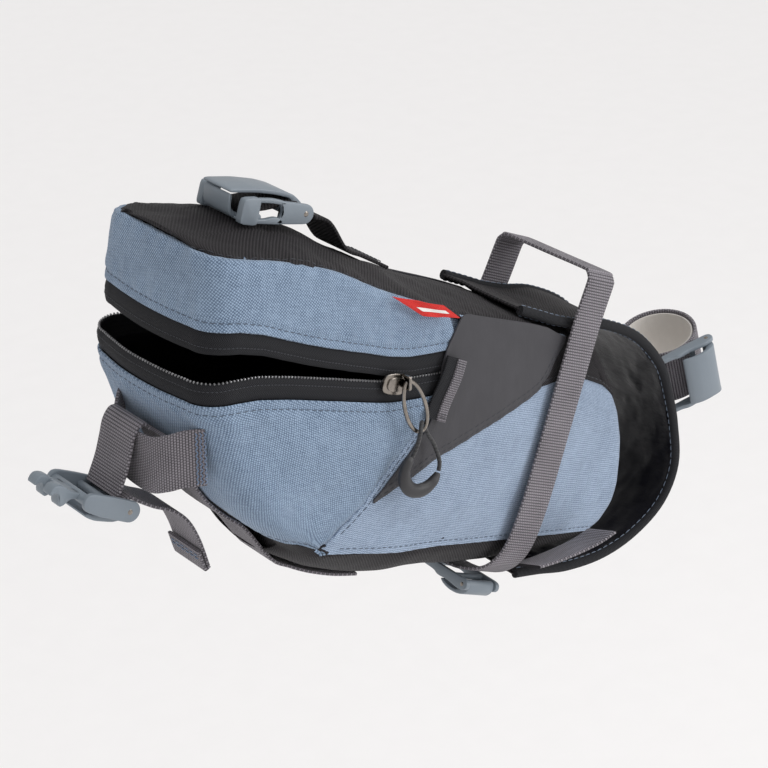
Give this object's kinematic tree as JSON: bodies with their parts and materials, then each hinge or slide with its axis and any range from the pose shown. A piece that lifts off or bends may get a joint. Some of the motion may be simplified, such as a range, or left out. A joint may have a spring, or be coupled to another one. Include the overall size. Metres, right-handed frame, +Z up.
{
  "type": "saddle bag",
  "caption": "Wedge-shaped bicycle saddle bag with a zipped lid, a hooded nose that wraps the seatpost, a strap over the saddle rails and a rear strap with a hook buckle.",
  "frame": {"origin": "midway between the two saddle rails, at the height of their axes, where the rail strap crosses them", "axes": "+X forwards along the bicycle, towards the seatpost; +Z up; +Y to the bicycle's left"},
  "size_m": [0.3199, 0.0831, 0.1992],
  "materials": {
    "blue_fabric": "matt woven",
    "black_ribbed_nylon": "matt ribbed",
    "dark_grey_laminate": "smooth matt",
    "lining": "coated",
    "zip_tape": "matt woven",
    "zip_teeth": "satin",
    "nickel": "polished nickel",
    "grey_webbing": "ribbed woven",
    "grey_plastic": "satin moulded",
    "red_label": "woven label",
    "pull_cord": "braided",
    "grip_plastic": "soft satin",
    "stiffener_board": "matt",
    "grip_face": "matt"
  },
  "bodies": {
    "bag": {"main_body": "blue_fabric", "nose_gusset": "black_ribbed_nylon", "base_panel": "black_ribbed_nylon", "base_stiffener": "stiffener_board", "body_lining": "lining", "front_top_panel": "black_ribbed_nylon", "side_wing_near": "dark_grey_laminate", "side_wing_far": "dark_grey_laminate", "zip_end_tab_near": "grey_webbing", "zip_end_tab_far": "grey_webbing", "zip_tape_lower": "zip_tape", "zip_teeth_lower": "zip_teeth", "nose_hood": "black_ribbed_nylon", "hood_lining": "lining", "hood_binding_near": "black_ribbed_nylon", "hood_binding_far": "black_ribbed_nylon", "rail_strap": "grey_webbing", "rail_strap_end": "grey_webbing", "bottom_buckle_frame": "grey_plastic", "bottom_buckle_pin": "nickel", "seatpost_strap": "grey_webbing", "seatpost_strap_grip": "grip_face", "seatpost_buckle_frame": "grey_plastic", "seatpost_buckle_pin": "nickel", "light_loop": "grey_webbing", "rear_strap_anchor": "grey_webbing"},
    "lid": {"lid_band": "blue_fabric", "lid_top_panel": "black_ribbed_nylon", "lid_lining": "lining", "zip_tape_upper": "zip_tape", "zip_teeth_upper": "zip_teeth", "label_tag": "red_label", "top_strap": "black_ribbed_nylon"},
    "slider": {"zip_slider": "nickel"},
    "pull_ring": {"zip_pull_ring": "nickel"},
    "pull_grip": {"zip_grip": "grip_plastic", "zip_pull_cord": "pull_cord"},
    "top_buckle": {"top_buckle_frame": "grey_plastic", "top_buckle_pin": "nickel"},
    "top_lever": {"top_buckle_lever": "grey_plastic"},
    "rear_strap": {"rear_strap": "grey_webbing", "rear_strap_tail": "grey_webbing"},
    "rear_buckle": {"rear_buckle_frame": "grey_plastic", "rear_buckle_pin": "nickel"},
    "rear_lever": {"rear_buckle_lever": "grey_plastic"},
    "bottom_lever": {"bottom_buckle_lever": "grey_plastic"},
    "post_lever": {"seatpost_buckle_lever": "grey_plastic"}
  },
  "joints": [
    {"name": "lid_hinge", "type": "hinge", "parent": "bag", "child": "lid", "pos_m": [-0.084, 0, 0.0155], "axis": [0, 1, 0], "range_deg": [-1, 40]},
    {"name": "slider_slide", "type": "slide", "parent": "bag", "child": "slider", "axis": [-0.9413, -0.05, 0.3338], "range_m": [-0.006, 0.04]},
    {"name": "ring_hinge", "type": "hinge", "parent": "slider", "child": "pull_ring", "pos_m": [-0.1086, -0.0414, -0.0036], "axis": [-1, 0, 0], "range_deg": [0, 120]},
    {"name": "grip_hinge", "type": "hinge", "parent": "pull_ring", "child": "pull_grip", "pos_m": [-0.102, -0.0414, -0.0246], "axis": [-1, 0, 0], "range_deg": [0, 90]},
    {"name": "top_buckle_swing", "type": "hinge", "parent": "lid", "child": "top_buckle", "pos_m": [-0.13246, 0, 0.05211], "axis": [0, 1, 0], "range_deg": [0, 30]},
    {"name": "top_lever_hinge", "type": "hinge", "parent": "top_buckle", "child": "top_lever", "pos_m": [-0.13094, 0, 0.05729], "axis": [0, 1, 0], "range_deg": [0, 60]},
    {"name": "rear_strap_swing", "type": "hinge", "parent": "bag", "child": "rear_strap", "pos_m": [-0.194, 0.003, -0.0079], "axis": [0, 1, 0], "range_deg": [0, 60]},
    {"name": "rear_buckle_swing", "type": "hinge", "parent": "rear_strap", "child": "rear_buckle", "pos_m": [-0.21291, 0.003, -0.03246], "axis": [0, 1, 0], "range_deg": [0, 40]},
    {"name": "rear_lever_hinge", "type": "hinge", "parent": "rear_buckle", "child": "rear_lever", "pos_m": [-0.20739, 0.003, -0.03592], "axis": [0, -1, 0], "range_deg": [0, 50]},
    {"name": "bottom_lever_hinge", "type": "hinge", "parent": "bag", "child": "bottom_lever", "pos_m": [-0.05202, -0.0178, -0.11919], "axis": [-0.9165, 0, 0.4], "range_deg": [0, 60]},
    {"name": "post_lever_hinge", "type": "hinge", "parent": "bag", "child": "post_lever", "pos_m": [0.07098, -0.02204, -0.05657], "axis": [-0.2846, 0, 0.9586], "range_deg": [0, 90]}
  ]
}
